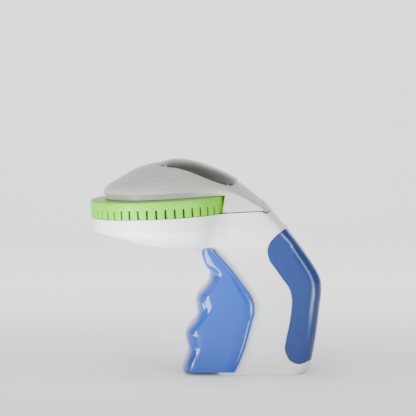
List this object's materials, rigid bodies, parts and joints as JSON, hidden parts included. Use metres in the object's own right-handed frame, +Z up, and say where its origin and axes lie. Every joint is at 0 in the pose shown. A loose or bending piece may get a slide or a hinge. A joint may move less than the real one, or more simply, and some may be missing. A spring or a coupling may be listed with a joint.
{
  "type": "embossing label maker",
  "caption": "Pistol-shaped hand embosser: squeeze trigger, turning lime character wheel under a hinged white dome cover with smoked window, tape roll and punch inside.",
  "frame": {"origin": "on the flat base of the handle, on the mid plane, at mount base_rest", "axes": "-X out of the nose where the label comes out, +Y from the object's left side to its right side, +Z up out of the base towards the head"},
  "size_m": [0.1435, 0.088, 0.1328],
  "materials": {
    "white_plastic": "satin moulded light grey-white",
    "lime_plastic": "satin moulded lime green",
    "smoked_window": "clear smoked plastic, polished",
    "blue_plastic": "glossy moulded mid blue",
    "blue_grip": "softer dark blue",
    "grey_nylon": "moulded grey nylon",
    "steel": "bright plated steel",
    "black_rubber": "matt",
    "red_tape": "glossy vinyl tape"
  },
  "bodies": {
    "housing": {"left_body_shell": "white_plastic", "right_body_shell": "white_plastic", "base_cap": "white_plastic", "back_grip_pad": "blue_grip", "body_screw_1": "steel", "body_screw_2": "steel", "body_screw_3": "steel", "body_screw_4": "steel", "body_screw_5": "steel", "wheel_deck": "grey_nylon", "press_frame": "steel", "plunger_guide": "grey_nylon", "wheel_spindle": "steel", "spindle_clip": "steel", "detent_spring": "steel", "label_exit_guide": "grey_nylon", "tape_leader": "red_tape", "trigger_pivot_pin": "steel", "cover_hinge_pin": "steel", "trigger_return_spring": "steel", "plunger_spring": "steel", "feed_axle": "steel", "pressure_axle": "steel", "tape_axle": "steel"},
    "cover": {"top_cover": "white_plastic", "view_window": "smoked_window"},
    "wheel": {"character_wheel": "lime_plastic", "die_ring": "lime_plastic", "punch_wheel": "grey_nylon", "wheel_hub": "grey_nylon"},
    "trigger_lever": {"trigger": "blue_plastic", "drive_arm": "grey_nylon", "drive_roller_pin": "steel"},
    "arm_roller": {"drive_roller": "steel"},
    "plunger": {"emboss_plunger": "steel", "cutter_blade": "steel", "feed_pawl": "grey_nylon"},
    "feed": {"feed_roller": "black_rubber", "ratchet_wheel": "grey_nylon"},
    "pressure": {"pressure_roller": "black_rubber"},
    "spool": {"tape_spool": "grey_nylon", "tape_roll": "red_tape"}
  },
  "joints": [
    {"name": "cover_hinge", "type": "hinge", "parent": "housing", "child": "cover", "pos_m": [-0.00474, 0, 0.10349], "axis": [0, 1, 0], "range_deg": [0, 60]},
    {"name": "wheel_turn", "type": "hinge", "parent": "housing", "child": "wheel", "pos_m": [-0.06934, 0, 0.10399], "axis": [-0.0479, 0, 0.9988], "continuous": true},
    {"name": "trigger_squeeze", "type": "hinge", "parent": "housing", "child": "trigger_lever", "pos_m": [-0.0372, 0, 0.0716], "axis": [0, -1, 0], "range_deg": [0, 13.5], "stiffness_Nm_per_rad": 0.6, "springref_deg": -20.05, "deforming": ["trigger_return_spring"]},
    {"name": "arm_roller_turn", "type": "hinge", "parent": "trigger_lever", "child": "arm_roller", "pos_m": [-0.02836, 0.009, 0.07202], "axis": [0, 1, 0], "continuous": true},
    {"name": "plunger_lift", "type": "slide", "parent": "housing", "child": "plunger", "axis": [-0.0479, 0, 0.9988], "range_m": [0, 0.0022], "stiffness_N_per_m": 12, "springref_m": -0.002, "deforming": ["plunger_spring"]},
    {"name": "feed_turn", "type": "hinge", "parent": "housing", "child": "feed", "pos_m": [-0.02199, 0.009, 0.09786], "axis": [0, 1, 0], "continuous": true},
    {"name": "pressure_turn", "type": "hinge", "parent": "housing", "child": "pressure", "pos_m": [-0.02225, 0.009, 0.10325], "axis": [0, 1, 0], "continuous": true},
    {"name": "spool_turn", "type": "hinge", "parent": "housing", "child": "spool", "pos_m": [-0.01154, 0.009, 0.08454], "axis": [0, 1, 0], "continuous": true}
  ],
  "couplings": [
    {"joint": "plunger_lift", "follows": "trigger_squeeze", "m_per_rad": 0.00885}
  ]
}
